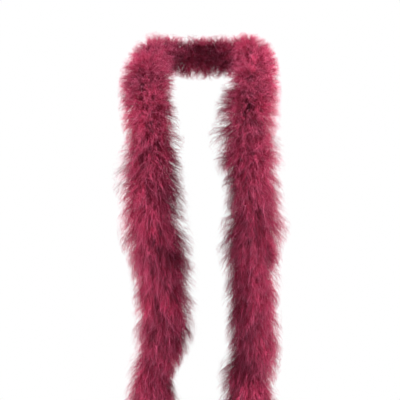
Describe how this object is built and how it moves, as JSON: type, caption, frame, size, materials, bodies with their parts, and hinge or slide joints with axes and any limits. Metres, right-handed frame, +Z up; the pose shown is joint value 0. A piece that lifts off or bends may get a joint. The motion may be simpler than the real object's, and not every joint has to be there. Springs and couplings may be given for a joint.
{
  "type": "feather boa",
  "caption": "Marabou feather boa, worn behind the neck: downy plumes bound along a cotton cord make a fat soft rope whose two tails hang down the front, with a knot at each tip.",
  "frame": {"origin": "where the boa bears on the nape of the wearer's neck, on the inner side of its nape length", "axes": "+Z up along the wearer's neck, -Y the wearer's front, +X the wearer's left"},
  "size_m": [0.2541, 0.2809, 0.8187],
  "materials": {
    "plume": "downy",
    "quill": "satin",
    "cord": "twisted cotton",
    "thread": "matte"
  },
  "bodies": {
    "nape": {"core_cord_nape": "cord", "binding_thread_nape": "thread", "quills_nape": "quill", "plumes_nape": "plume"},
    "right_shoulder": {"core_cord_right_shoulder": "cord", "binding_thread_right_shoulder": "thread", "quills_right_shoulder": "quill", "plumes_right_shoulder": "plume"},
    "right_chest": {"core_cord_right_chest": "cord", "binding_thread_right_chest": "thread", "quills_right_chest": "quill", "plumes_right_chest": "plume"},
    "right_waist": {"core_cord_right_waist": "cord", "binding_thread_right_waist": "thread", "quills_right_waist": "quill", "plumes_right_waist": "plume"},
    "right_end": {"core_cord_right_end": "cord", "binding_thread_right_end": "thread", "quills_right_end": "quill", "plumes_right_end": "plume", "end_whipping_right": "thread", "end_knot_right": "cord", "end_tassel_right": "cord"},
    "left_shoulder": {"core_cord_left_shoulder": "cord", "binding_thread_left_shoulder": "thread", "quills_left_shoulder": "quill", "plumes_left_shoulder": "plume"},
    "left_chest": {"core_cord_left_chest": "cord", "binding_thread_left_chest": "thread", "quills_left_chest": "quill", "plumes_left_chest": "plume"},
    "left_waist": {"core_cord_left_waist": "cord", "binding_thread_left_waist": "thread", "quills_left_waist": "quill", "plumes_left_waist": "plume"},
    "left_end": {"core_cord_left_end": "cord", "binding_thread_left_end": "thread", "quills_left_end": "quill", "plumes_left_end": "plume", "end_whipping_left": "thread", "end_knot_left": "cord", "end_tassel_left": "cord"}
  },
  "joints": [
    {"name": "right_collar_open", "type": "hinge", "parent": "nape", "child": "right_shoulder", "pos_m": [-0.0794, -0.0071, 0.0027], "axis": [0, 0, -1], "range_deg": [0, 30]},
    {"name": "right_chest_swing", "type": "hinge", "parent": "right_shoulder", "child": "right_chest", "pos_m": [-0.0884, -0.1295, -0.0989], "axis": [-1, 0, 0], "range_deg": [0, 60]},
    {"name": "right_waist_sway", "type": "hinge", "parent": "right_chest", "child": "right_waist", "pos_m": [-0.0675, -0.1575, -0.3326], "axis": [0, 1, 0], "range_deg": [-3, 25]},
    {"name": "right_end_swing", "type": "hinge", "parent": "right_waist", "child": "right_end", "pos_m": [-0.083, -0.147, -0.5497], "axis": [-1, 0, 0], "range_deg": [-15, 60]},
    {"name": "left_collar_open", "type": "hinge", "parent": "nape", "child": "left_shoulder", "pos_m": [0.0769, -0.0089, 0.0016], "axis": [0, 0, 1], "range_deg": [0, 30]},
    {"name": "left_chest_swing", "type": "hinge", "parent": "left_shoulder", "child": "left_chest", "pos_m": [0.0696, -0.1288, -0.1055], "axis": [-1, 0, 0], "range_deg": [0, 60]},
    {"name": "left_waist_sway", "type": "hinge", "parent": "left_chest", "child": "left_waist", "pos_m": [0.076, -0.1568, -0.3387], "axis": [0, -1, 0], "range_deg": [-3, 25]},
    {"name": "left_end_swing", "type": "hinge", "parent": "left_waist", "child": "left_end", "pos_m": [0.0697, -0.1476, -0.5575], "axis": [-1, 0, 0], "range_deg": [-15, 60]}
  ]
}
